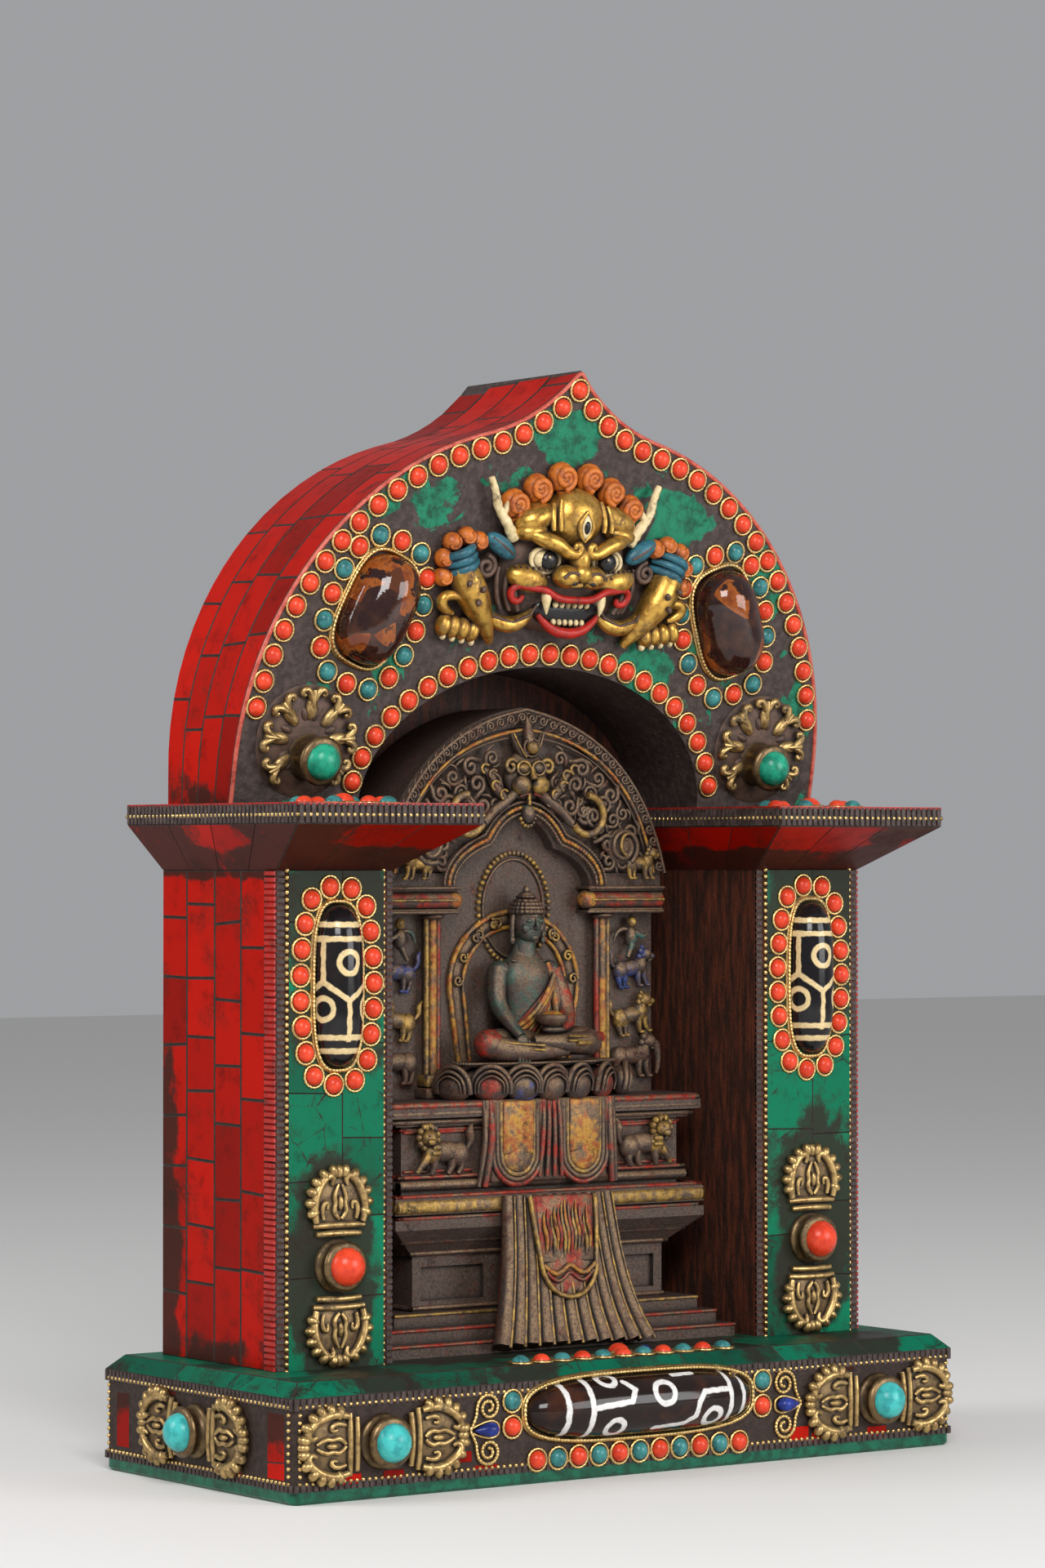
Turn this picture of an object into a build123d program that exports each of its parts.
# Table shrine with an ogee arch, in millimetres.
# A plinth carries two pillars with flaring cornices, the cornices carry an arch
# whose face leans forward, and a carved throne niche with a seated figure stands
# between the pillars. X runs to the right, Y to the back and Z up. The origin is
# the centre of the plinth's underside.
from math import cos, hypot, pi, radians, sin, tan

from build123d import *

# Plinth
plinth_width = 200.0
plinth_depth = 84.0
plinth_height = 28.0
plinth_bevel = 3.5
plinth_corner_radius = 2.5
plinth_top_corner_radius = 1.2
foot_height = 3.0
foot_chamfer = 0.8

# Pillars
pillar_centre_x = 72.5
pillar_width = 33.0
pillar_front_y = -17.7
pillar_back_y = 33.0
pillar_height = 118.5
pillar_face_thickness = 0.8
pillar_edge_strip = 2.8

# Cornices
cornice_arch_margin = 8.5
cornice_inner_overhang = 10.7
cornice_front_overhang = 23.0
cornice_back_overhang = 2.0
cornice_flare_height = 11.0
cornice_band_height = 4.5
cornice_band_fillet = 0.9

# Arch
arch_half_width = 89.5
arch_height = 108.0
arch_spring_share = 0.0926
arch_ogee_side_share = 0.2905
arch_ogee_rise_share = 0.848
arch_leg_width = 37.0
arch_opening_rise = 35.0
arch_foot_y = 2.3
arch_back_y = 30.0
arch_lean = 11.0

# Back panel
panel_thickness = 3.0
panel_overlap = 6.0

# Set stones
stone_radius = 2.85
stone_height = 2.3
stone_pitch = 6.15
stone_sides = 8
stone_dome_shares = ((1.0, 0.0), (0.88, 0.5), (0.5, 1.0))
rim_inset = 3.4
rim_start_share = 0.2176
opening_margin = 3.3
opening_end_angle = 9.0

# Beads and their collars
collar_gap = 0.25
collar_wall = 0.7
collar_height = 2.2
pillar_bead_length = 38.8
pillar_bead_radius = 6.4
pillar_bead_rise = 91.0
arch_bead_length = 29.0
arch_bead_radius = 9.3
arch_bead_rise_share = 0.4352
arch_bead_tilt = 18.0
bead_rim_gap = 4.4
plinth_bead_length = 68.0
plinth_bead_radius = 7.4
plinth_bead_z = 17.2
bead_end_share = 0.62
bead_corner_share = 0.8
stone_ring_gap = 0.3
arch_ring_stones = 16
pillar_ring_stones = 19
plinth_row_stones = 11

# Thunderbolt plaques and bosses
plaque_reach = 15.6
plaque_half_width = 9.2
plaque_half_length = 6.4
plaque_height = 2.2
plaque_rim = 1.9
plaque_pocket_depth = 0.9
plaque_bead_radius = 2.0
plaque_beads = 7
plaque_fan = 228.0
plaque_flame_half_length = 4.0
plaque_flame_half_width = 1.7
plaque_bar_thickness = 1.5
boss_radius = 6.2
boss_neck_radius = 5.4
boss_height = 3.6
boss_ring_height = 1.1
boss_stone_radius = 4.5
boss_stone_height = 3.0
plinth_plaque_x = 75.3
plinth_plaque_z = 13.4
pillar_plaque_rise = 24.5
medallion_rise_share = 0.1407
medallion_foot_gap = 1.2
medallion_opening_gap = 3.5
medallion_edge_gap = 5.5
medallion_ring_gap = 0.8
medallion_boss_drop = 4.0
medallion_leaves = 7
medallion_fan = 252.0
medallion_leaf_half_length = 3.6
medallion_leaf_half_width = 2.2
medallion_curl_radius = 1.5

# Cornice rosettes
rosette_y = -20.0
rosette_stone_radius = 3.8
rosette_ring_radius = 11.0
rosette_stones = 8

# Lion mask, fitted into the face between the bead rings and the rim
mask_gap = 0.35
mask_half_width_share = 0.45
mask_height_share = 0.466
mask_face_depth = 8.0
mask_crown_share = 0.72
mask_forehead_share = 0.4
mask_brow_share = 0.26
mask_eye_share = 0.21
mask_nose_share = 0.22
mask_pad_share = 0.25
mask_forehead_place_shares = (0.0, 0.66)
mask_brow_place_shares = (0.58, 0.46)
mask_eye_place_shares = (0.52, 0.08)
mask_nose_place_shares = (0.2, 0.0)
mask_pad_place_shares = (0.66, -0.26)
mask_mouth_place_share = -0.56
mask_mouth_width_share = 1.16
mask_mouth_height_share = 0.36
mask_mouth_depth = 3.0
mask_fang_place_share = 0.42
mask_fang_radius = 1.4
mask_fang_length = 4.4
mane_radius_share = 0.582
mane_rise_share = 0.331
mane_centre_share = 0.263
mane_curl_share = 0.1032
mane_curl_depth = 4.6
mane_groove = 0.9
mane_curls = 6
mane_spread = 118.0
horn_radius_share = 0.0397
horn_tip_share = 0.688
horn_root_rise_share = 0.391
horn_tip_rise_share = 0.586
arm_width_share = 0.111
arm_length_share = 0.256
arm_depth = 6.0
arm_edge_radius = 1.5
arm_side_share = 0.8
arm_foot_share = 0.035
arm_tilt = 24.0
bracelet_count = 3
bracelet_width = 1.6
bracelet_height = 0.8
paw_length_share = 0.1376
paw_half_height = 2.4
paw_depth = 4.0

# Stepped base of the throne niche
niche_back_clearance = 0.3
step_half_width = 53.5
step_front_y = -12.0
step_height = 3.4
step_inset = 3.4
step_count = 3

# Throne
dado_half_width = 38.5
dado_front_y = -1.0
dado_height = 13.5
throne_cornice_half_width = 47.5
throne_cornice_front_y = -7.0
throne_flare_height = 7.0
throne_band_height = 8.0
throne_band_shares = ((0.0, 0.3, 1.0), (0.3, 0.16, 0.72), (0.46, 0.54, 1.0))
throne_band_fillet = 1.2
throne_panel_half_width = 42.5
throne_panel_front_y = -2.0
throne_panel_height = 17.0
throne_top_half_width = 48.0
throne_top_front_y = -5.0
throne_top_height = 6.0
throne_top_shares = ((0.0, 0.34, 0.45), (0.34, 0.66, 1.0))
throne_top_fillet = 1.2
dado_panel_depth = 1.2
dado_panel_border = 2.6

# Carved cloths on the throne
cloth_half_width = 19.2
cloth_length = 20.5
cloth_thickness = 1.4
cloth_corner_radius = 6.5
drape_top_half_width = 14.5
drape_bottom_half_width = 21.5
drape_top_thickness = 1.6
drape_bottom_thickness = 3.2
drape_flare = 6.5
drape_hem_clearance = 1.6
drape_folds = 9
drape_fold_depth = 0.9

# Wall and gable behind the figure
wall_front_y = 10.5
wall_half_width = 44.0
gable_thickness = 3.8
gable_shoulder_rise = 56.0
gable_apex_rise = 97.5
gable_side_bulge_share = 0.16
gable_opening_half_width = 21.5
gable_opening_rise = 11.0
gable_lobe_half_width = 12.2
gable_lobe_rise = 17.4
gable_border = 3.4
gable_border_height = 1.0

# Columns
column_x = 26.3
column_radius = 2.3
column_base_height = 6.0
column_base_half_width = 3.4
column_gap = 0.3
capital_rise = 46.0
capital_height = 6.5
capital_inner_x = 19.5
capital_depth = 5.4

# Halo
halo_bead = 1.5
halo_height = 0.8
halo_head_rise = 47.0
halo_head_half_width = 10.2
halo_head_half_height = 13.0
halo_body_rise = 28.0
halo_body_half_width = 20.0
halo_body_half_height = 16.5

# Lotus seat
lotus_half_width = 25.5
lotus_half_depth = 7.4
lotus_height = 9.2
lotus_sides = 14
lotus_petal_thickness = 1.3
lotus_petal_width_share = 0.92
lotus_petal_spring_share = 0.4
lotus_wall_gap = 2.0

# Seated figure
figure_knee_x = 14.6
figure_knee_y = -1.6
figure_hip_x = 5.0
figure_foot_x = 5.5
figure_foot_y = -4.6
figure_leg_radius = 3.3
figure_seat_half_width = 13.5
figure_seat_half_depth = 5.6
figure_seat_height = 4.6
figure_waist_half_width = 6.4
figure_chest_half_width = 9.0
figure_shoulder_half_width = 7.0
figure_body_half_depth = 4.0
figure_body_corner = 3.2
figure_chest_rise = 20.5
figure_shoulder_rise = 26.0
figure_shoulder_radius = 3.0
figure_neck_radius = 2.5
figure_head_radius = 4.7
figure_head_rise = 33.6
figure_hair_radius = 5.1
figure_hair_rise = 34.8
figure_topknot_radius = 2.5
figure_jewel_radius = 1.2
figure_ear_radius = 1.2
figure_ear_length = 4.4
figure_arm_radius = 2.1
figure_elbow_x = 12.2
figure_elbow_rise = 13.4
figure_arm_forward = 3.2
figure_hand_x = 12.6
figure_hand_rise = 5.6
figure_hand_forward = 5.4
figure_bowl_radius = 3.4
figure_bowl_height = 3.2
figure_bowl_rise = 7.4

# Relief animals
lion_half_length = 7.6
lion_half_height = 5.2
lion_depth = 2.6
lion_x = 31.0
lion_rise = 8.0
animal_half_length = 5.4
animal_half_height = 4.6
animal_depth = 2.6
animal_x = 36.6
animal_pitch = 13.0
animal_first_rise = 8.5
animal_count = 3
animal_leg_share = 0.3
animal_tail_share = 0.22

# Gable ornaments
gable_mask_radius = 5.6
gable_mask_rise = 80.0
gable_mask_depth = 3.0
gable_cheek_radius = 2.4
gable_jewel_radius = 1.9
volute_radius = 6.2
volute_tube_radius = 1.5
volute_x = 18.5
volute_rise = 72.0
volute_outer_radius = 5.0
volute_outer_x = 29.6
volute_outer_rise = 62.4
volute_mouth = 70.0

# One overrun serves every cut
overrun = 5.0

# Places that follow from the sizes above
plinth_front_y = -plinth_depth / 2
arch_opening_half_width = arch_half_width - arch_leg_width
arch_spring_rise = arch_spring_share * arch_height
arch_ogee_rise = arch_ogee_rise_share * arch_height
arch_ogee_x = arch_ogee_side_share * arch_half_width
arch_side_run = arch_half_width - arch_ogee_x
arch_side_rise = arch_ogee_rise - arch_spring_rise
arch_side_radius = (arch_side_run**2 + arch_side_rise**2) / (2 * arch_side_run)
arch_side_centre_x = arch_half_width - arch_side_radius
arch_bead_rise = arch_bead_rise_share * arch_height
arch_edge_x = arch_side_centre_x + (arch_side_radius**2 - (arch_bead_rise - arch_spring_rise) ** 2) ** 0.5
bead_ring_reach = collar_gap + collar_wall + stone_ring_gap + 2 * stone_radius
arch_bead_x = (
    arch_edge_x - rim_inset - stone_radius - bead_rim_gap - bead_ring_reach - arch_bead_radius
)

# Each medallion fills the room between the arch's foot, its leg's edges and the ring round the bead
medallion_rise = medallion_rise_share * arch_height
leg_start = arch_opening_half_width + medallion_opening_gap
leg_end = arch_half_width - medallion_edge_gap
medallion_x = (leg_start + leg_end) / 2
ring_end_reach = arch_bead_length / 2 + bead_ring_reach
ring_end_x = arch_bead_x + ring_end_reach * sin(radians(arch_bead_tilt))
ring_end_rise = arch_bead_rise - ring_end_reach * cos(radians(arch_bead_tilt))
medallion_radius = min(
    (leg_end - leg_start) / 2,
    medallion_rise - medallion_foot_gap,
    hypot(medallion_x - ring_end_x, ring_end_rise - medallion_rise) - medallion_ring_gap,
)

mask_room = arch_bead_x - arch_bead_radius - bead_ring_reach
mask_base_rise = arch_opening_rise + opening_margin + stone_radius + mask_gap
mask_rise_room = arch_height - mask_base_rise
mask_face_half_width = mask_half_width_share * mask_room
mask_face_height = mask_height_share * mask_rise_room
mane_centre_rise = mask_base_rise + mane_centre_share * mask_rise_room
mane_curl_radius = mane_curl_share * mask_room
horn_radius = horn_radius_share * mask_room
horn_tip_x = horn_tip_share * mask_room
horn_root_rise = mask_base_rise + horn_root_rise_share * mask_rise_room
horn_tip_rise = mask_base_rise + horn_tip_rise_share * mask_rise_room
arm_x = arm_side_share * mask_room
arm_half_width = arm_width_share * mask_room
paw_half_length = paw_length_share * mask_room
arm_length = arm_length_share * mask_rise_room
arm_base_rise = mask_base_rise + arm_foot_share * mask_rise_room
plinth_edge_z = plinth_height - plinth_bevel
pillar_top_z = plinth_height + pillar_height
pillar_depth = pillar_back_y - pillar_front_y
pillar_centre_y = (pillar_front_y + pillar_back_y) / 2
pillar_inner_x = pillar_centre_x - pillar_width / 2
pillar_face_y = pillar_front_y - pillar_face_thickness
cornice_band_z = pillar_top_z + cornice_flare_height
cornice_top_z = cornice_band_z + cornice_band_height
cornice_inner_x = pillar_inner_x - cornice_inner_overhang
cornice_outer_x = arch_half_width + cornice_arch_margin
cornice_front_y = pillar_front_y - cornice_front_overhang
cornice_back_y = pillar_back_y + cornice_back_overhang
niche_back_y = arch_back_y - niche_back_clearance
dado_z = plinth_height + step_count * step_height
throne_cornice_z = dado_z + dado_height
throne_band_z = throne_cornice_z + throne_flare_height
throne_panel_z = throne_band_z + throne_band_height
throne_top_z = throne_panel_z + throne_panel_height
wall_z = throne_top_z + throne_top_height
gable_front_y = wall_front_y - gable_thickness
lotus_z = wall_z
figure_z = lotus_z + lotus_height
lotus_y = wall_front_y - lotus_half_depth - lotus_wall_gap

# Faces that carry the ornaments, each with local x to the right and local y up
plinth_front = Plane(origin=(0, plinth_front_y, 0), x_dir=(1, 0, 0), z_dir=(0, -1, 0))
plinth_left = Plane(origin=(-plinth_width / 2, 0, 0), x_dir=(0, -1, 0), z_dir=(-1, 0, 0))
plinth_right = Plane(origin=(plinth_width / 2, 0, 0), x_dir=(0, 1, 0), z_dir=(1, 0, 0))
pillar_face = Plane(origin=(0, pillar_face_y, plinth_height), x_dir=(1, 0, 0), z_dir=(0, -1, 0))
lean = radians(arch_lean)
arch_face = Plane(
    origin=(0, arch_foot_y, cornice_top_z), x_dir=(1, 0, 0), z_dir=(0, -cos(lean), -sin(lean))
)
gable_face = Plane(origin=(0, gable_front_y, wall_z), x_dir=(1, 0, 0), z_dir=(0, -1, 0))
gable_field = gable_face.offset(-gable_border_height)
wall_face = Plane(origin=(0, wall_front_y, wall_z), x_dir=(1, 0, 0), z_dir=(0, -1, 0))
panel_face = Plane(
    origin=(0, throne_panel_front_y, throne_panel_z), x_dir=(1, 0, 0), z_dir=(0, -1, 0)
)
sides = {"left": -1, "right": 1}


def save(part, name):
    """Label a finished piece and write it as its own STEP file."""
    part.label = name
    export_step(part, f"parts/{name}.step")


def save_group(pieces, name):
    """Join separate pieces of one kind into a single node and write it."""
    with BuildPart() as group:
        add(pieces)
    save(group.part, name)


def on_arch(x, rise):
    """Local point on the leaning face for a height above the arch's feet."""
    return (x, rise / cos(lean))


def set_stones(plane, points, radius=stone_radius, height=stone_height):
    """Low faceted domes on a face, one separate solid for each stone."""
    with BuildPart() as stone:
        for width_share, rise_share in stone_dome_shares:
            with BuildSketch(Plane.XY.offset(rise_share * height)):
                RegularPolygon(width_share * radius, stone_sides)
        loft(ruled=True)
    with BuildPart() as stones:
        with Locations(*[plane.location * Pos(*point) for point in points]):
            add(stone.part)
    return stones.part


def bead_outline(length, radius, margin=0.0):
    """Outline of a barrel bead seen from above, with rounded ends, grown by a margin."""
    end = (length / 2, radius * bead_end_share)
    with BuildSketch() as outline:
        with BuildLine():
            top = ThreePointArc((-end[0], end[1]), (0, radius), end)
            Line(top @ 1, (end[0], -end[1]))
            bottom = ThreePointArc((end[0], -end[1]), (0, -radius), (-end[0], -end[1]))
            Line(bottom @ 1, top @ 0)
        make_face()
        fillet(outline.vertices(), end[1] * bead_corner_share)
        if margin > 0:
            offset(amount=margin)
    return outline.sketch


def bead(plane, centre, length, radius, turn):
    """Half of a barrel bead, cut flat where it lies on its face."""
    seat = Plane(plane * Pos(centre[0], centre[1]) * Rot(0, 0, turn))
    with BuildPart() as barrel:
        with BuildSketch(seat):
            add(bead_outline(length, radius))
            split(bisect_by=Plane.XZ, keep=Keep.BOTTOM)
        revolve(axis=Axis(seat.origin, seat.x_dir), revolution_arc=180)
    return barrel.part


def collar(plane, centre, length, radius, turn):
    """Metal collar that stands on the face and follows the bead's outline."""
    seat = Plane(plane * Pos(centre[0], centre[1]) * Rot(0, 0, turn))
    with BuildPart() as ring:
        with BuildSketch(seat):
            add(bead_outline(length, radius, collar_gap + collar_wall))
            add(bead_outline(length, radius, collar_gap), mode=Mode.SUBTRACT)
        extrude(amount=collar_height)
    return ring.part


def bead_ring(count, length, radius, centre, turn):
    """Points spaced evenly round a bead, clear of its collar."""
    margin = collar_gap + collar_wall + stone_ring_gap + stone_radius
    ring = bead_outline(length, radius, margin).wire()
    points = []
    for index in range(count):
        run = index * ring.length / count
        spot = ring.position_at(run, position_mode=PositionMode.LENGTH).rotate(Axis.Z, turn)
        points.append((centre[0] + spot.X, centre[1] + spot.Y))
    return points


def fan_places(centre, half_length, half_width, count, spread):
    """Places on an ellipse, fanned about its right-hand end, each with its own angle."""
    places = []
    for index in range(count):
        angle = spread * (index / (count - 1) - 0.5)
        x = centre[0] + half_length * cos(radians(angle))
        y = centre[1] + half_width * sin(radians(angle))
        places.append(Location((x, y), angle))
    return places


def turned_boss(plane, centre, height):
    """Turned seat for a stone: a foot ring, a neck and a top ring."""
    seat = plane.location * Pos(*centre)
    with BuildPart() as boss:
        for radius, start, end in (
            (boss_radius, 0, boss_ring_height),
            (boss_neck_radius, boss_ring_height, height - boss_ring_height),
            (boss_radius, height - boss_ring_height, height),
        ):
            with BuildSketch(Plane(seat).offset(start)):
                Circle(radius)
            extrude(amount=end - start)
    return boss.part


def plaque_pair(plane, centre, turn):
    """Thunderbolt: two pocketed lobes rimmed with petals, each with a flame, and a turned boss."""
    seat = plane * Pos(centre[0], centre[1]) * Rot(0, 0, turn)
    lobe_half_width = plaque_half_width - plaque_bead_radius
    with BuildPart() as plaque:
        for half_turn in (0, 180):
            lobe_plane = Plane(seat * Rot(0, 0, half_turn))
            with BuildSketch(lobe_plane):
                with Locations((plaque_reach, 0)):
                    Ellipse(plaque_half_length, lobe_half_width)
                fan = fan_places(
                    (plaque_reach, 0), plaque_half_length, lobe_half_width, plaque_beads, plaque_fan
                )
                with Locations(*fan):
                    Circle(plaque_bead_radius)
            extrude(amount=plaque_height)
            with BuildSketch(lobe_plane.offset(plaque_height)):
                with Locations((plaque_reach, 0)):
                    Ellipse(plaque_half_length - plaque_rim, lobe_half_width - plaque_rim)
            extrude(amount=-plaque_pocket_depth, mode=Mode.SUBTRACT)
            with BuildSketch(lobe_plane):
                with BuildLine():
                    Polyline(
                        (plaque_reach - plaque_flame_half_length, 0),
                        (plaque_reach, plaque_flame_half_width),
                        (plaque_reach + plaque_flame_half_length, 0),
                        (plaque_reach, -plaque_flame_half_width),
                        close=True,
                    )
                make_face()
                with Locations((plaque_reach - plaque_half_length - plaque_bar_thickness / 2, 0)):
                    RectangleRounded(
                        2 * plaque_bar_thickness, lobe_half_width, plaque_bar_thickness / 2
                    )
            extrude(amount=plaque_height)
            with BuildSketch(lobe_plane):
                with Locations((plaque_reach / 2, 0)):
                    Rectangle(plaque_reach, 2 * plaque_bar_thickness)
            extrude(amount=plaque_height / 2)
        add(turned_boss(Plane(seat), (0, 0), boss_height))
    return plaque.part


def boss_stone(plane, centre, base_height):
    """Round cabochon on top of a boss."""
    return set_stones(plane.offset(base_height), [centre], boss_stone_radius, boss_stone_height)


# Plinth: green foot strip, red core and bevelled green top
with BuildPart() as plinth_foot:
    with BuildSketch():
        RectangleRounded(plinth_width, plinth_depth, plinth_corner_radius)
    extrude(amount=foot_height)
    chamfer(plinth_foot.faces().sort_by(Axis.Z)[0].edges(), foot_chamfer)
save(plinth_foot.part, "plinth_foot")

with BuildPart() as plinth_core:
    with BuildSketch(Plane.XY.offset(foot_height)):
        RectangleRounded(plinth_width, plinth_depth, plinth_corner_radius)
    extrude(amount=plinth_edge_z - foot_height)
save(plinth_core.part, "plinth_core")

with BuildPart() as plinth_top:
    with BuildSketch(Plane.XY.offset(plinth_edge_z)):
        RectangleRounded(plinth_width, plinth_depth, plinth_corner_radius)
    with BuildSketch(Plane.XY.offset(plinth_height)):
        RectangleRounded(
            plinth_width - 2 * plinth_bevel, plinth_depth - 2 * plinth_bevel, plinth_top_corner_radius
        )
    loft()
save(plinth_top.part, "plinth_top")

# Pillars, their green faces and the flaring cornices
for name, side in sides.items():
    with BuildPart() as pillar:
        with BuildSketch(Plane.XY.offset(plinth_height)):
            with Locations((side * pillar_centre_x, pillar_centre_y)):
                Rectangle(pillar_width, pillar_depth)
        extrude(amount=pillar_height)
    save(pillar.part, f"{name}_pillar")

    with BuildPart() as face_panel:
        with BuildSketch(Plane.XZ.offset(-pillar_front_y)):
            with Locations((side * pillar_centre_x, plinth_height + pillar_height / 2)):
                Rectangle(pillar_width - 2 * pillar_edge_strip, pillar_height)
        extrude(amount=pillar_face_thickness)
    save(face_panel.part, f"{name}_pillar_face")

    with BuildPart() as cornice:
        band_centre = (
            side * (cornice_inner_x + cornice_outer_x) / 2,
            (cornice_front_y + cornice_back_y) / 2,
        )
        with BuildSketch(Plane.XY.offset(pillar_top_z)):
            with Locations((side * pillar_centre_x, pillar_centre_y)):
                Rectangle(pillar_width, pillar_depth)
        with BuildSketch(Plane.XY.offset(cornice_band_z)):
            with Locations(band_centre):
                Rectangle(cornice_outer_x - cornice_inner_x, cornice_back_y - cornice_front_y)
        loft()
        with BuildSketch(Plane.XY.offset(cornice_band_z)):
            with Locations(band_centre):
                Rectangle(cornice_outer_x - cornice_inner_x, cornice_back_y - cornice_front_y)
        extrude(amount=cornice_band_height)
        fillet(cornice.faces().sort_by(Axis.Z)[-1].edges(), cornice_band_fillet)
    save(cornice.part, f"{name}_cornice")


# Arch: an ogee outline with an elliptical opening, cut by the leaning face
def ogee_half(inset):
    """Right half of the ogee line, moved inwards by an inset, from spring to apex."""
    keep_share = (arch_side_radius - inset) / arch_side_radius
    ogee_point = (
        arch_side_centre_x + (arch_ogee_x - arch_side_centre_x) * keep_share,
        cornice_top_z + arch_spring_rise + arch_side_rise * keep_share,
    )
    spring_point = (arch_half_width - inset, cornice_top_z + arch_spring_rise)
    side_arc = TangentArc(spring_point, ogee_point, tangent=(0, 1), mode=Mode.PRIVATE)
    apex = (0, cornice_top_z + arch_height - inset * hypot(1, 1))
    tip_arc = TangentArc(ogee_point, apex, tangent=side_arc % 1, mode=Mode.PRIVATE)
    return side_arc, tip_arc


with BuildPart() as arch:
    with BuildSketch(Plane.XZ.offset(-arch_back_y)):
        with BuildLine():
            add(ogee_half(0))
            Line((arch_half_width, cornice_top_z), (arch_half_width, cornice_top_z + arch_spring_rise))
            Line((0, cornice_top_z), (arch_half_width, cornice_top_z))
            mirror(about=Plane.YZ)
        make_face()
        with Locations((0, cornice_top_z)):
            Ellipse(arch_opening_half_width, arch_opening_rise, mode=Mode.SUBTRACT)
    extrude(amount=arch_back_y - arch_foot_y + arch_height * tan(lean) + overrun)
    split(bisect_by=arch_face, keep=Keep.BOTTOM)
save(arch.part, "arch")

# Back panel, notched round the cornices, with an arched head behind the opening
with BuildPart() as back_panel:
    with BuildSketch(Plane.XZ.offset(-arch_back_y - panel_thickness)):
        with Locations((0, (plinth_height + pillar_top_z) / 2)):
            Rectangle(2 * pillar_inner_x, pillar_height)
        with Locations((0, (pillar_top_z + cornice_top_z) / 2)):
            Rectangle(2 * cornice_inner_x, cornice_top_z - pillar_top_z)
        with BuildLine():
            EllipticalCenterArc(
                (0, cornice_top_z),
                arch_opening_half_width + panel_overlap,
                arch_opening_rise + panel_overlap,
                start_angle=0,
                arc_size=180,
            )
            Line(
                (-arch_opening_half_width - panel_overlap, cornice_top_z),
                (arch_opening_half_width + panel_overlap, cornice_top_z),
            )
        make_face()
    extrude(amount=panel_thickness)
save(back_panel.part, "back_panel")

# Rows of coral along the rim and the opening of the arch
rim_arc, rim_tip = ogee_half(rim_inset)
rim_line = Wire([rim_arc, rim_tip])
rim_start = (rim_start_share * arch_height - arch_spring_rise) / rim_line.length
rim_stones = int(rim_line.length * (1 - rim_start) / stone_pitch)
rim_points = [on_arch(0, arch_height - rim_inset * hypot(1, 1))]
for index in range(rim_stones):
    spot = rim_line.position_at(rim_start + (1 - rim_start) * index / rim_stones)
    for side in sides.values():
        rim_points.append(on_arch(side * spot.X, spot.Y - cornice_top_z))
save(set_stones(arch_face, rim_points), "arch_rim_corals")

opening_line = EllipticalCenterArc(
    (0, 0),
    arch_opening_half_width + opening_margin,
    arch_opening_rise + opening_margin,
    start_angle=opening_end_angle,
    arc_size=180 - 2 * opening_end_angle,
)
opening_stones = int(opening_line.length / stone_pitch)
opening_points = []
for index in range(opening_stones + 1):
    spot = opening_line.position_at(index / opening_stones)
    opening_points.append(on_arch(spot.X, spot.Y))
save(set_stones(arch_face, opening_points), "arch_opening_corals")

# Beads in their collars, with rings of stones round them
bead_corals = []
bead_turquoises = []
arch_beads = []
pillar_beads = []
collars = []
for name, side in sides.items():
    spot = on_arch(side * arch_bead_x, arch_bead_rise)
    turn = 90 + side * arch_bead_tilt
    arch_beads.append(bead(arch_face, spot, arch_bead_length, arch_bead_radius, turn))
    collars.append(collar(arch_face, spot, arch_bead_length, arch_bead_radius, turn))
    ring = bead_ring(arch_ring_stones, arch_bead_length, arch_bead_radius, spot, turn)
    bead_corals.append(set_stones(arch_face, ring[0::2]))
    bead_turquoises.append(set_stones(arch_face, ring[1::2]))

    spot = (side * pillar_centre_x, pillar_bead_rise)
    pillar_beads.append(bead(pillar_face, spot, pillar_bead_length, pillar_bead_radius, 90))
    collars.append(collar(pillar_face, spot, pillar_bead_length, pillar_bead_radius, 90))
    ring = bead_ring(pillar_ring_stones, pillar_bead_length, pillar_bead_radius, spot, 90)
    bead_corals.append(set_stones(pillar_face, ring))

# Long bead on the plinth's front, a row below it, a row on the plinth top above it
plinth_spot = (0, plinth_bead_z)
collars.append(collar(plinth_front, plinth_spot, plinth_bead_length, plinth_bead_radius, 0))
plinth_bead = bead(plinth_front, plinth_spot, plinth_bead_length, plinth_bead_radius, 0)
row_reach = plinth_bead_radius + collar_gap + collar_wall + stone_radius + collar_gap
lower_row = []
for index in range(plinth_row_stones):
    row_x = (index - (plinth_row_stones - 1) / 2) * stone_pitch
    lower_row.append((row_x, plinth_bead_z - row_reach))
end_reach = plinth_bead_length / 2 + collar_gap + collar_wall + stone_radius + collar_gap
for side in sides.values():
    lower_row.append((side * end_reach, plinth_bead_z + stone_pitch / 2))
    lower_row.append((side * end_reach, plinth_bead_z - stone_pitch / 2))
bead_corals.append(set_stones(plinth_front, lower_row[0::2]))
bead_turquoises.append(set_stones(plinth_front, lower_row[1::2]))
upper_row = []
for index in range(plinth_row_stones):
    row_x = (index - (plinth_row_stones - 1) / 2) * stone_pitch
    upper_row.append((row_x, plinth_front_y + plinth_bevel + stone_radius))
bead_corals.append(set_stones(Plane.XY.offset(plinth_height), upper_row[1::2]))
bead_turquoises.append(set_stones(Plane.XY.offset(plinth_height), upper_row[0::2]))

save_group(collars, "bead_collars")
save_group(bead_corals, "bead_corals")
save_group(bead_turquoises, "bead_turquoises")
save(plinth_bead, "plinth_bead")
for name, arch_bead, pillar_bead in zip(sides, arch_beads, pillar_beads):
    save(arch_bead, f"{name}_arch_bead")
    save(pillar_bead, f"{name}_pillar_bead")

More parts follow.
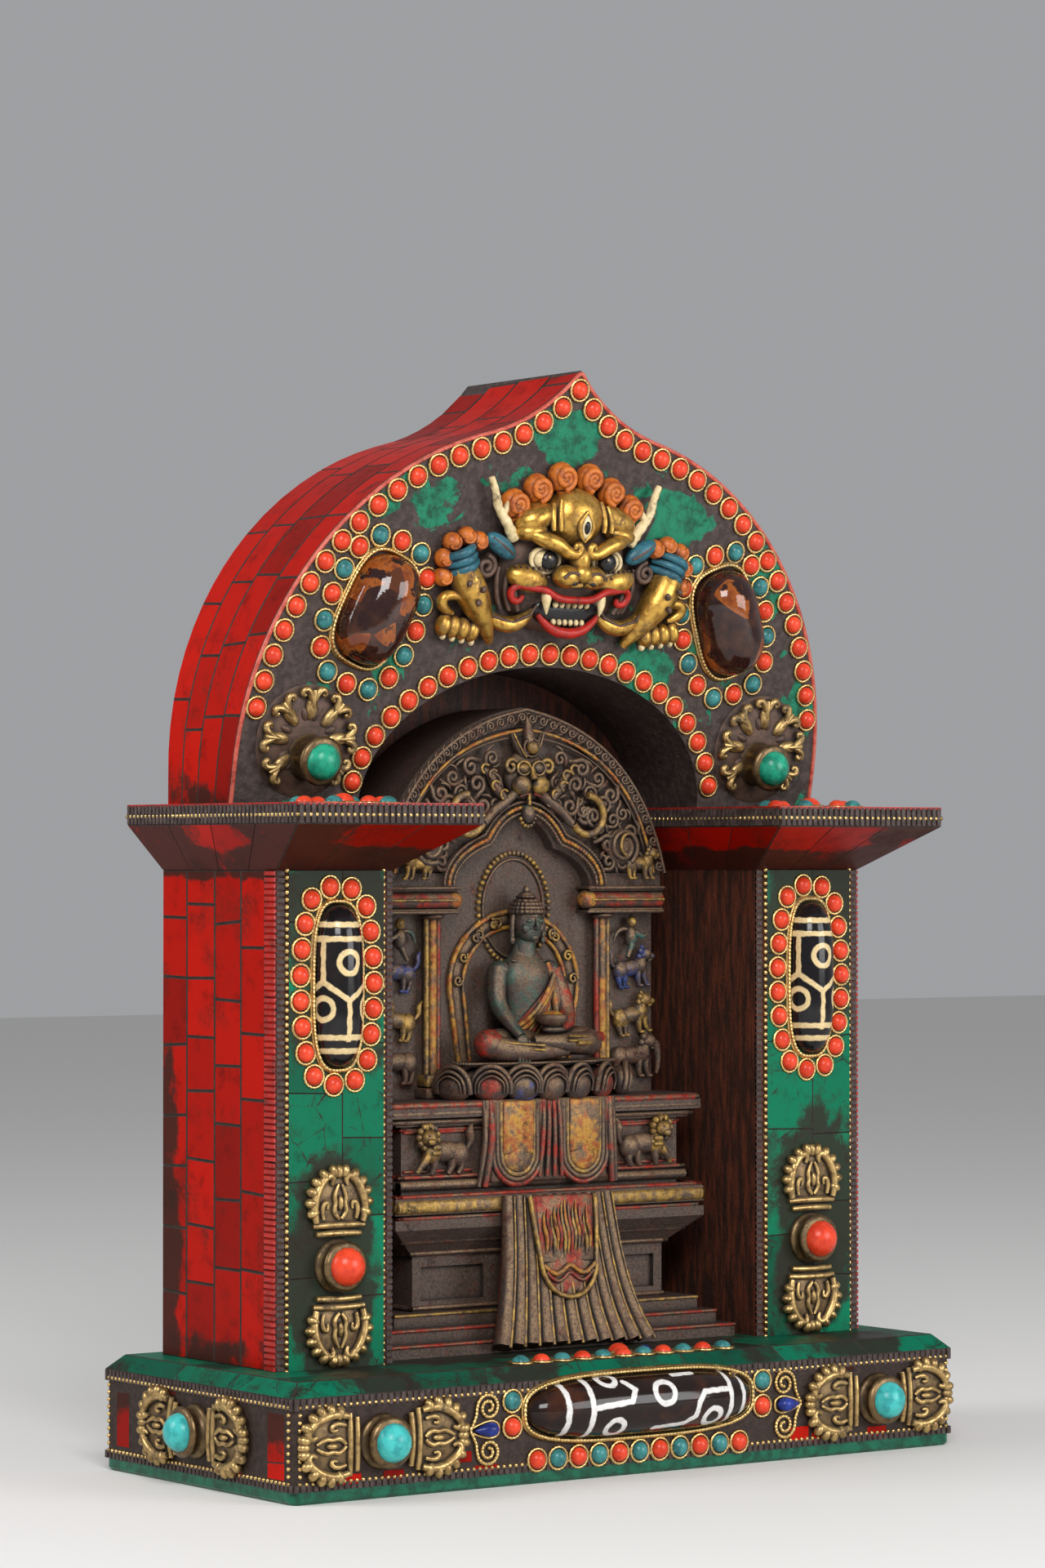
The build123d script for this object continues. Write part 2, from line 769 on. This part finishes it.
# Thunderbolt plaques on the plinth and the pillars, with a stone on every boss
boss_turquoises = []
boss_corals = []
plaque_faces = {"left": plinth_left, "right": plinth_right}
for name, side in sides.items():
    spot = (side * plinth_plaque_x, plinth_plaque_z)
    save(plaque_pair(plinth_front, spot, 0), f"{name}_plinth_plaque")
    boss_turquoises.append(boss_stone(plinth_front, spot, boss_height))
    spot = (0, plinth_plaque_z)
    save(plaque_pair(plaque_faces[name], spot, 0), f"{name}_end_plaque")
    boss_turquoises.append(boss_stone(plaque_faces[name], spot, boss_height))
    spot = (side * pillar_centre_x, pillar_plaque_rise)
    save(plaque_pair(pillar_face, spot, 90), f"{name}_pillar_plaque")
    boss_corals.append(boss_stone(pillar_face, spot, boss_height))

    # Scroll medallion at the arch's foot: fanned leaves with curled tips and a taller boss
    spot = on_arch(side * medallion_x, medallion_rise)
    boss_spot = on_arch(side * medallion_x, medallion_rise - medallion_boss_drop)
    leaf_ring = medallion_radius - medallion_leaf_half_length - medallion_curl_radius
    curl_reach = medallion_leaf_half_length - medallion_curl_radius / 2
    with BuildPart() as medallion:
        with BuildSketch(arch_face):
            with Locations(spot):
                Circle(medallion_radius - medallion_curl_radius)
        extrude(amount=plaque_height / 2)
        with BuildSketch(arch_face):
            with Locations(Location(spot, 90)):
                fan = fan_places((0, 0), leaf_ring, leaf_ring, medallion_leaves, medallion_fan)
                with Locations(*fan):
                    Ellipse(medallion_leaf_half_length, medallion_leaf_half_width)
                    with Locations(
                        (curl_reach, medallion_leaf_half_width), (curl_reach, -medallion_leaf_half_width)
                    ):
                        Circle(medallion_curl_radius)
        extrude(amount=plaque_height)
        add(turned_boss(arch_face, boss_spot, 2 * boss_height))
    save(medallion.part, f"{name}_medallion")
    boss_turquoises.append(boss_stone(arch_face, boss_spot, 2 * boss_height))
save_group(boss_turquoises, "boss_turquoises")
save_group(boss_corals, "boss_corals")

# Rosettes of stones on the cornices
rosette_corals = []
rosette_turquoises = []
for side in sides.values():
    centre = (side * (cornice_inner_x + cornice_outer_x) / 2, rosette_y)
    ring = []
    for index in range(rosette_stones):
        angle = 2 * pi * index / rosette_stones
        ring.append(
            (centre[0] + rosette_ring_radius * cos(angle), centre[1] + rosette_ring_radius * sin(angle))
        )
    cornice_top = Plane.XY.offset(cornice_top_z)
    rosette_corals.append(set_stones(cornice_top, [centre], rosette_stone_radius))
    rosette_corals.append(set_stones(cornice_top, ring[0::2]))
    rosette_turquoises.append(set_stones(cornice_top, ring[1::2]))
save_group(rosette_corals, "cornice_corals")
save_group(rosette_turquoises, "cornice_turquoises")


# Lion mask: a shallow dome that carries forehead, brows, eyes, nose and muzzle, with an open mouth
def on_mask(x_share, rise_share):
    """Local point on the arch's face from shares of the mask's half width and half height."""
    x, rise = on_arch(
        x_share * mask_face_half_width, mask_base_rise + (1 + rise_share) * mask_face_height / 2
    )
    return x, rise


with BuildPart() as lion_face:
    with BuildSketch(arch_face):
        with Locations(on_mask(0, 0)):
            Ellipse(mask_face_half_width, mask_face_height / 2)
    with BuildSketch(arch_face.offset(mask_face_depth)):
        with Locations(on_mask(0, 0)):
            Ellipse(mask_face_half_width * mask_crown_share, mask_face_height / 2 * mask_crown_share)
    loft()
    with BuildSketch(arch_face.offset(mask_face_depth)):
        with Locations(on_mask(0, mask_mouth_place_share)):
            Rectangle(
                mask_face_half_width * mask_mouth_width_share,
                mask_face_height / 2 * mask_mouth_height_share,
            )
    extrude(amount=-mask_mouth_depth, mode=Mode.SUBTRACT)
    bulges = (
        (mask_forehead_share, mask_forehead_place_shares, (0,)),
        (mask_brow_share, mask_brow_place_shares, sides.values()),
        (mask_eye_share, mask_eye_place_shares, sides.values()),
        (mask_nose_share, mask_nose_place_shares, sides.values()),
        (mask_pad_share, mask_pad_place_shares, sides.values()),
    )
    for size_share, (x_share, rise_share), mirrored in bulges:
        radius = size_share * mask_face_half_width
        for side in mirrored:
            spot = on_mask(side * x_share, rise_share)
            with Locations(arch_face.offset(mask_face_depth - radius / 2).location * Pos(*spot)):
                Sphere(radius)
    for side in sides.values():
        fang = arch_face.offset(mask_face_depth - mask_fang_radius).location
        lip_place_share = mask_mouth_place_share + mask_mouth_height_share / 2
        fang_spot = on_mask(side * mask_fang_place_share, lip_place_share)
        with Locations(fang * Pos(*fang_spot) * Rot(90, 0, 0)):
            Cone(
                mask_fang_radius,
                mask_fang_radius / 4,
                mask_fang_length,
                align=(Align.CENTER, Align.CENTER, Align.MIN),
            )
    split(bisect_by=arch_face, keep=Keep.TOP)
save(lion_face.part, "lion_face")

# Mane: rolled curls in an arc over the brow, each with a ring groove
with BuildPart() as lion_mane:
    mane_points = []
    for index in range(mane_curls):
        angle = radians(90 + mane_spread * (index / (mane_curls - 1) - 0.5))
        mane_points.append(
            on_arch(
                mane_radius_share * mask_room * cos(angle),
                mane_centre_rise + mane_rise_share * mask_rise_room * sin(angle),
            )
        )
    with BuildSketch(arch_face):
        with Locations(*mane_points):
            Circle(mane_curl_radius)
    extrude(amount=mane_curl_depth)
    with BuildSketch(arch_face.offset(mane_curl_depth)):
        with Locations(*mane_points):
            Circle(mane_curl_radius - mane_groove)
            Circle(mane_curl_radius - 2 * mane_groove, mode=Mode.SUBTRACT)
    extrude(amount=-mane_groove, mode=Mode.SUBTRACT)
save(lion_mane.part, "lion_mane")

with BuildPart() as lion_horns:
    for side in sides.values():
        with BuildSketch(arch_face):
            with BuildLine():
                outer = ThreePointArc(
                    on_arch(side * (horn_tip_x + horn_radius), horn_root_rise),
                    on_arch(side * (horn_tip_x + 2 * horn_radius), (horn_root_rise + horn_tip_rise) / 2),
                    on_arch(side * horn_tip_x, horn_tip_rise),
                )
                inner = ThreePointArc(
                    outer @ 1,
                    on_arch(side * (horn_tip_x - horn_radius / 2), (horn_root_rise + horn_tip_rise) / 2),
                    on_arch(side * (horn_tip_x - 2 * horn_radius), horn_root_rise),
                )
                Line(inner @ 1, outer @ 0)
            make_face()
    extrude(amount=2 * horn_radius)
save(lion_horns.part, "lion_horns")

# Forearms that lean inwards to their paws, with three bracelets each
face_outward = Axis(arch_face.origin, arch_face.z_dir)
for name, side in sides.items():
    lean_turn = 90 - side * arm_tilt
    arm_centre = on_arch(side * arm_x, arm_base_rise + arm_length / 2)
    with BuildPart() as lion_arm:
        with BuildSketch(arch_face):
            with Locations(arm_centre):
                SlotOverall(arm_length, 2 * arm_half_width, rotation=lean_turn)
        extrude(amount=arm_depth)
        fillet(lion_arm.faces().sort_by(face_outward)[-1].edges(), arm_edge_radius)
        with BuildSketch(arch_face):
            with Locations(Location(arm_centre, lean_turn)):
                for index in range(bracelet_count):
                    wrist_x = arm_length / 2 - arm_half_width
                    bracelet_x = wrist_x + (2 * index - bracelet_count) * bracelet_width
                    with Locations((bracelet_x, 0)):
                        Rectangle(bracelet_width, 2 * (arm_half_width + bracelet_height))
        extrude(amount=arm_depth + bracelet_height)
        with BuildSketch(arch_face):
            with Locations(on_arch(side * arm_x, arm_base_rise + paw_half_height)):
                SlotOverall(2 * paw_half_length, 2 * paw_half_height)
        extrude(amount=paw_depth)
    save(lion_arm.part, f"{name}_lion_arm")

# Stepped base between the pillars
with BuildPart() as shrine_steps:
    for index in range(step_count):
        front = step_front_y + index * step_inset
        with BuildSketch(Plane.XY.offset(plinth_height + index * step_height)):
            with Locations((0, (front + niche_back_y) / 2)):
                Rectangle(2 * (step_half_width - index * step_inset), niche_back_y - front)
        extrude(amount=step_height)
save(shrine_steps.part, "shrine_steps")


def throne_block(z, half_width, front):
    """Sketch of one course of the throne, flush at the back."""
    with BuildSketch(Plane.XY.offset(z)) as course:
        with Locations((0, (front + niche_back_y) / 2)):
            Rectangle(2 * half_width, niche_back_y - front)
    return course.sketch


with BuildPart() as throne_dado:
    add(throne_block(dado_z, dado_half_width, dado_front_y))
    extrude(amount=dado_height)
    with BuildSketch(Plane.XZ.offset(-dado_front_y)):
        panel_width = dado_half_width - drape_top_half_width - 2 * dado_panel_border
        for side in sides.values():
            panel_x = side * (dado_half_width - dado_panel_border - panel_width / 2)
            with Locations((panel_x, dado_z + dado_height / 2)):
                Rectangle(panel_width, dado_height - 2 * dado_panel_border)
    extrude(amount=-dado_panel_depth, mode=Mode.SUBTRACT)
save(throne_dado.part, "throne_dado")

with BuildPart() as throne_cornice:
    add(throne_block(throne_cornice_z, dado_half_width, dado_front_y))
    add(throne_block(throne_band_z, throne_cornice_half_width, throne_cornice_front_y))
    loft()
    for start_share, height_share, reach_share in throne_band_shares:
        half_width = dado_half_width + reach_share * (throne_cornice_half_width - dado_half_width)
        front_y = dado_front_y + reach_share * (throne_cornice_front_y - dado_front_y)
        add(throne_block(throne_band_z + start_share * throne_band_height, half_width, front_y))
        extrude(amount=height_share * throne_band_height)
    fillet(throne_cornice.faces().sort_by(Axis.Z)[-1].edges(), throne_band_fillet)
save(throne_cornice.part, "throne_cornice")

with BuildPart() as throne_panel:
    add(throne_block(throne_panel_z, throne_panel_half_width, throne_panel_front_y))
    extrude(amount=throne_panel_height)
save(throne_panel.part, "throne_panel")

with BuildPart() as throne_top:
    for start_share, height_share, reach_share in throne_top_shares:
        overhang = reach_share * (throne_top_half_width - throne_panel_half_width)
        half_width = throne_panel_half_width + overhang
        front_y = throne_panel_front_y + reach_share * (throne_top_front_y - throne_panel_front_y)
        add(throne_block(throne_top_z + start_share * throne_top_height, half_width, front_y))
        extrude(amount=height_share * throne_top_height)
    fillet(throne_top.faces().sort_by(Axis.Z)[-1].edges(), throne_top_fillet)
save(throne_top.part, "throne_top")

# Carved cloths: a two-lobed one over the seat edge and a fluted one below it
with BuildPart() as throne_cloth:
    with BuildSketch(Plane.XZ.offset(-throne_top_front_y)):
        for side in sides.values():
            with Locations((side * cloth_half_width / 2, wall_z - throne_top_fillet - cloth_length / 2)):
                RectangleRounded(cloth_half_width + cloth_thickness, cloth_length, cloth_corner_radius)
        with Locations((0, wall_z - throne_top_fillet - throne_top_height / 2)):
            Rectangle(2 * cloth_half_width + cloth_thickness, throne_top_height)
    extrude(amount=cloth_thickness)
save(throne_cloth.part, "throne_cloth")

hem_z = plinth_height + drape_hem_clearance


def pleats(half_width, thickness, back_y):
    """Closed section of a pleated cloth: flat at the back, folded at the front."""
    front = []
    for index in range(2 * drape_folds + 1):
        depth = thickness + (index % 2) * drape_fold_depth
        front.append((half_width * (index / drape_folds - 1), back_y - depth))
    with BuildLine() as section:
        Polyline((-half_width, back_y), *front, (half_width, back_y), close=True)
    return section.line


with BuildPart() as throne_drape:
    with BuildSketch(Plane.XY.offset(throne_panel_z - throne_band_fillet)):
        add(pleats(drape_top_half_width, drape_top_thickness, throne_cornice_front_y))
        make_face()
    with BuildSketch(Plane.XY.offset(hem_z)):
        add(pleats(drape_bottom_half_width, drape_bottom_thickness, throne_cornice_front_y - drape_flare))
        make_face()
    loft(ruled=True)
save(throne_drape.part, "throne_drape")


# Wall behind the figure and the gable in front of it, with a cusped opening
def gable_outline(inset=0.0):
    """Closed outline of the gable from wall foot to pointed top, drawn in by an inset."""
    shoulder = (wall_half_width - inset, gable_shoulder_rise)
    apex = (0, gable_apex_rise - inset * hypot(1, 1))
    middle = (
        wall_half_width * (0.5 + gable_side_bulge_share) - inset / hypot(1, 1),
        (gable_shoulder_rise + gable_apex_rise) / 2 + wall_half_width * gable_side_bulge_share
        - inset / hypot(1, 1),
    )
    with BuildLine() as outline:
        Line((0, 0), (wall_half_width - inset, 0))
        Line((wall_half_width - inset, 0), shoulder)
        ThreePointArc(shoulder, middle, apex)
        mirror(about=Plane.YZ)
    return outline.line


with BuildPart() as shrine_wall:
    with BuildSketch(wall_face):
        add(gable_outline())
        make_face()
    extrude(amount=wall_front_y - niche_back_y)
save(shrine_wall.part, "shrine_wall")


def gable_sketch(inset=0.0):
    """Gable above the capitals with its cusped opening, drawn in by an inset."""
    capital_top = capital_rise + capital_height
    with BuildSketch() as shape:
        add(gable_outline(inset))
        make_face()
        Rectangle(2 * (wall_half_width + overrun), 2 * (capital_top + inset), mode=Mode.SUBTRACT)
        with Locations((0, capital_top)):
            Ellipse(gable_opening_half_width + inset, gable_opening_rise + inset, mode=Mode.SUBTRACT)
            Ellipse(gable_lobe_half_width + inset, gable_lobe_rise + inset, mode=Mode.SUBTRACT)
    return shape.sketch


with BuildPart() as gable:
    with BuildSketch(wall_face):
        add(gable_sketch())
    extrude(amount=gable_thickness)
    with BuildSketch(gable_face):
        add(gable_sketch(gable_border))
    extrude(amount=-gable_border_height, mode=Mode.SUBTRACT)
save(gable.part, "gable")

# Columns on their bases, each with the long capital that carries the gable
for name, side in sides.items():
    with BuildPart() as column:
        with BuildSketch(Plane.XY.offset(wall_z)):
            with Locations((side * column_x, wall_front_y - capital_depth / 2)):
                Rectangle(2 * column_base_half_width, capital_depth)
        extrude(amount=column_base_height)
        with BuildSketch(Plane.XY.offset(wall_z + column_base_height)):
            with Locations((side * column_x, wall_front_y - column_radius - column_gap)):
                Circle(column_radius)
        extrude(amount=capital_rise - column_base_height)
        capital_centre = side * (capital_inner_x + wall_half_width) / 2
        capital_width = wall_half_width - capital_inner_x
        with BuildSketch(Plane.XY.offset(wall_z + capital_rise)):
            with Locations((capital_centre, wall_front_y - capital_depth / 2)):
                Rectangle(capital_width, capital_depth)
        extrude(amount=capital_height)
    save(column.part, f"{name}_column")

# Halo: a ring behind the body and a ring behind the head
with BuildPart() as halo:
    with BuildSketch(wall_face):
        with Locations((0, halo_body_rise)):
            Ellipse(halo_body_half_width, halo_body_half_height)
        with Locations((0, halo_head_rise)):
            Ellipse(halo_head_half_width, halo_head_half_height)
        with Locations((0, halo_body_rise)):
            Ellipse(
                halo_body_half_width - halo_bead, halo_body_half_height - halo_bead, mode=Mode.SUBTRACT
            )
        with Locations((0, halo_head_rise)):
            Ellipse(
                halo_head_half_width - halo_bead, halo_head_half_height - halo_bead, mode=Mode.SUBTRACT
            )
    extrude(amount=halo_height)
save(halo.part, "halo")

# Lotus seat: a many-sided drum with a raised petal on every side
lotus_drum_half_width = lotus_half_width - lotus_petal_thickness
lotus_drum_half_depth = lotus_half_depth - lotus_petal_thickness
lotus_corners = []
for index in range(lotus_sides):
    angle = 2 * pi * (index + 0.5) / lotus_sides
    lotus_corners.append(
        Vector(lotus_drum_half_width * cos(angle), lotus_y + lotus_drum_half_depth * sin(angle), lotus_z)
    )
with BuildPart() as lotus_seat:
    with BuildSketch(Plane.XY.offset(lotus_z)):
        with BuildLine():
            Polyline(*[(corner.X, corner.Y) for corner in lotus_corners], close=True)
        make_face()
    extrude(amount=lotus_height)
    for first, second in zip(lotus_corners, lotus_corners[1:] + lotus_corners[:1]):
        along = (second - first).normalized()
        petal_plane = Plane(
            origin=(first + second) / 2, x_dir=along, z_dir=along.cross(Vector(0, 0, 1))
        )
        half = (second - first).length * lotus_petal_width_share / 2
        spring = lotus_petal_spring_share * lotus_height
        with BuildSketch(petal_plane):
            with BuildLine():
                Line((-half, 0), (half, 0))
                Line((half, 0), (half, spring))
                TangentArc((half, spring), (0, lotus_height), tangent=(0, 1))
                TangentArc((-half, spring), (0, lotus_height), tangent=(0, 1))
                Line((-half, spring), (-half, 0))
            make_face()
        extrude(amount=lotus_petal_thickness)
save(lotus_seat.part, "lotus_seat")


def limb(start, end, radius):
    """Round limb between two points: a cylinder with a ball at each end."""
    start = Vector(*start)
    reach = Vector(*end) - start
    with BuildPart(Plane(origin=start, z_dir=reach)) as made:
        Cylinder(radius, reach.length, align=(Align.CENTER, Align.CENTER, Align.MIN))
        with Locations((0, 0, 0), (0, 0, reach.length)):
            Sphere(radius)
    return made.part


# Seated figure: crossed legs, torso, head with topknot and long ears, one arm down, one in the lap
with BuildPart() as seated_figure:
    with BuildSketch(Plane.XY.offset(figure_z)):
        with Locations((0, lotus_y)):
            RectangleRounded(
                2 * figure_seat_half_width, 2 * figure_seat_half_depth, figure_seat_half_depth / 2
            )
    extrude(amount=figure_seat_height)
    leg_z = figure_z + figure_leg_radius
    for side in sides.values():
        knee = (side * figure_knee_x, lotus_y + figure_knee_y, leg_z)
        add(limb((side * figure_hip_x, lotus_y, leg_z), knee, figure_leg_radius))
        add(limb(knee, (-side * figure_foot_x, lotus_y + figure_foot_y, leg_z), figure_leg_radius))
    for (low_width, low_rise), (high_width, high_rise) in (
        ((figure_waist_half_width, figure_leg_radius), (figure_chest_half_width, figure_chest_rise)),
        ((figure_chest_half_width, figure_chest_rise), (figure_shoulder_half_width, figure_shoulder_rise)),
    ):
        for half_width, rise in ((low_width, low_rise), (high_width, high_rise)):
            with BuildSketch(Plane.XY.offset(figure_z + rise)):
                with Locations((0, lotus_y)):
                    RectangleRounded(2 * half_width, 2 * figure_body_half_depth, figure_body_corner)
        loft(ruled=True)
    chest_spot = (0, lotus_y, figure_z + figure_chest_rise)
    head_spot = (0, lotus_y, figure_z + figure_head_rise)
    add(limb(chest_spot, head_spot, figure_neck_radius))
    with Locations(head_spot):
        Sphere(figure_head_radius)
    with Locations((0, lotus_y + figure_head_radius - figure_body_corner, figure_z + figure_hair_rise)):
        Sphere(figure_hair_radius)
    topknot_z = figure_z + figure_hair_rise + figure_hair_radius
    with Locations((0, lotus_y, topknot_z)):
        Sphere(figure_topknot_radius)
    with Locations((0, lotus_y, topknot_z + figure_topknot_radius)):
        Sphere(figure_jewel_radius)
    for side in sides.values():
        ear_x = side * figure_hair_radius
        ear_z = figure_z + figure_head_rise
        add(limb((ear_x, lotus_y, ear_z), (ear_x, lotus_y, ear_z - figure_ear_length), figure_ear_radius))
    hands = {
        -1: (-figure_hand_x, lotus_y - figure_hand_forward, figure_z + figure_hand_rise),
        1: (0, lotus_y - figure_hand_forward, figure_z + figure_bowl_rise),
    }
    for side, hand in hands.items():
        shoulder = (side * figure_chest_half_width, lotus_y, figure_z + figure_chest_rise)
        elbow = (side * figure_elbow_x, lotus_y - figure_arm_forward, figure_z + figure_elbow_rise)
        add(limb(shoulder, elbow, figure_arm_radius))
        add(limb(elbow, hand, figure_arm_radius))
        with Locations(shoulder):
            Sphere(figure_shoulder_radius)
    with Locations((0, lotus_y - figure_hand_forward, figure_z + figure_bowl_rise)):
        Cone(
            figure_bowl_radius / 2,
            figure_bowl_radius,
            figure_bowl_height,
            align=(Align.CENTER, Align.CENTER, Align.MIN),
        )
save(seated_figure.part, "seated_figure")


def relief_animal(plane, centre, half_length, half_height, depth, facing):
    """Low relief beast: body, raised head, two legs and a tail carried high."""
    head_radius = half_height / 2
    leg_width = half_length * animal_leg_share
    tail_width = half_length * animal_tail_share
    haunch = half_length - head_radius
    with BuildPart() as animal:
        with BuildSketch(plane):
            with Locations(centre):
                Ellipse(half_length, half_height - head_radius)
                with Locations((facing * haunch, head_radius)):
                    Circle(head_radius)
                with Locations((haunch, -head_radius), (-haunch, -head_radius)):
                    RectangleRounded(leg_width, half_height, leg_width / 4)
                with Locations((-facing * haunch, head_radius)):
                    RectangleRounded(tail_width, half_height, tail_width / 4)
        extrude(amount=depth)
    return animal.part


# Lions beside the throne cloth, and the beasts in the strips beside the columns
for name, side in sides.items():
    lion_spot = (side * lion_x, lion_rise)
    lion = relief_animal(panel_face, lion_spot, lion_half_length, lion_half_height, lion_depth, side)
    save(lion, f"{name}_throne_lion")
    beasts = []
    for index in range(animal_count):
        beast_spot = (side * animal_x, animal_first_rise + index * animal_pitch)
        beasts.append(
            relief_animal(
                wall_face, beast_spot, animal_half_length, animal_half_height, animal_depth, side
            )
        )
    save_group(beasts, f"{name}_side_beasts")

# Gable ornaments: the crowning mask with cheeks and a jewel, and the open curls beside it
with BuildPart() as gable_mask:
    with BuildSketch(gable_field):
        with Locations((0, gable_mask_rise)):
            RegularPolygon(gable_mask_radius, 2 * stone_sides)
    extrude(amount=gable_mask_depth)
    mask_front = gable_field.offset(gable_mask_depth).location
    with Locations(mask_front * Pos(0, gable_mask_rise + gable_jewel_radius)):
        Sphere(gable_jewel_radius)
    cheek_rise = gable_mask_rise - gable_cheek_radius / 2
    for side in sides.values():
        with Locations(mask_front * Pos(side * gable_cheek_radius, cheek_rise)):
            Sphere(gable_cheek_radius)
save(gable_mask.part, "gable_mask")

with BuildPart() as gable_volutes:
    with BuildSketch(gable_field):
        for side in sides.values():
            for x, rise, radius in (
                (volute_x, volute_rise, volute_radius),
                (volute_outer_x, volute_outer_rise, volute_outer_radius),
            ):
                with Locations((side * x, rise)):
                    Circle(radius)
                    Circle(radius - 2 * volute_tube_radius, mode=Mode.SUBTRACT)
                    with Locations((side * radius, -radius)):
                        Rectangle(radius, radius, rotation=side * volute_mouth, mode=Mode.SUBTRACT)
    extrude(amount=volute_tube_radius + gable_border_height)
save(gable_volutes.part, "gable_volutes")
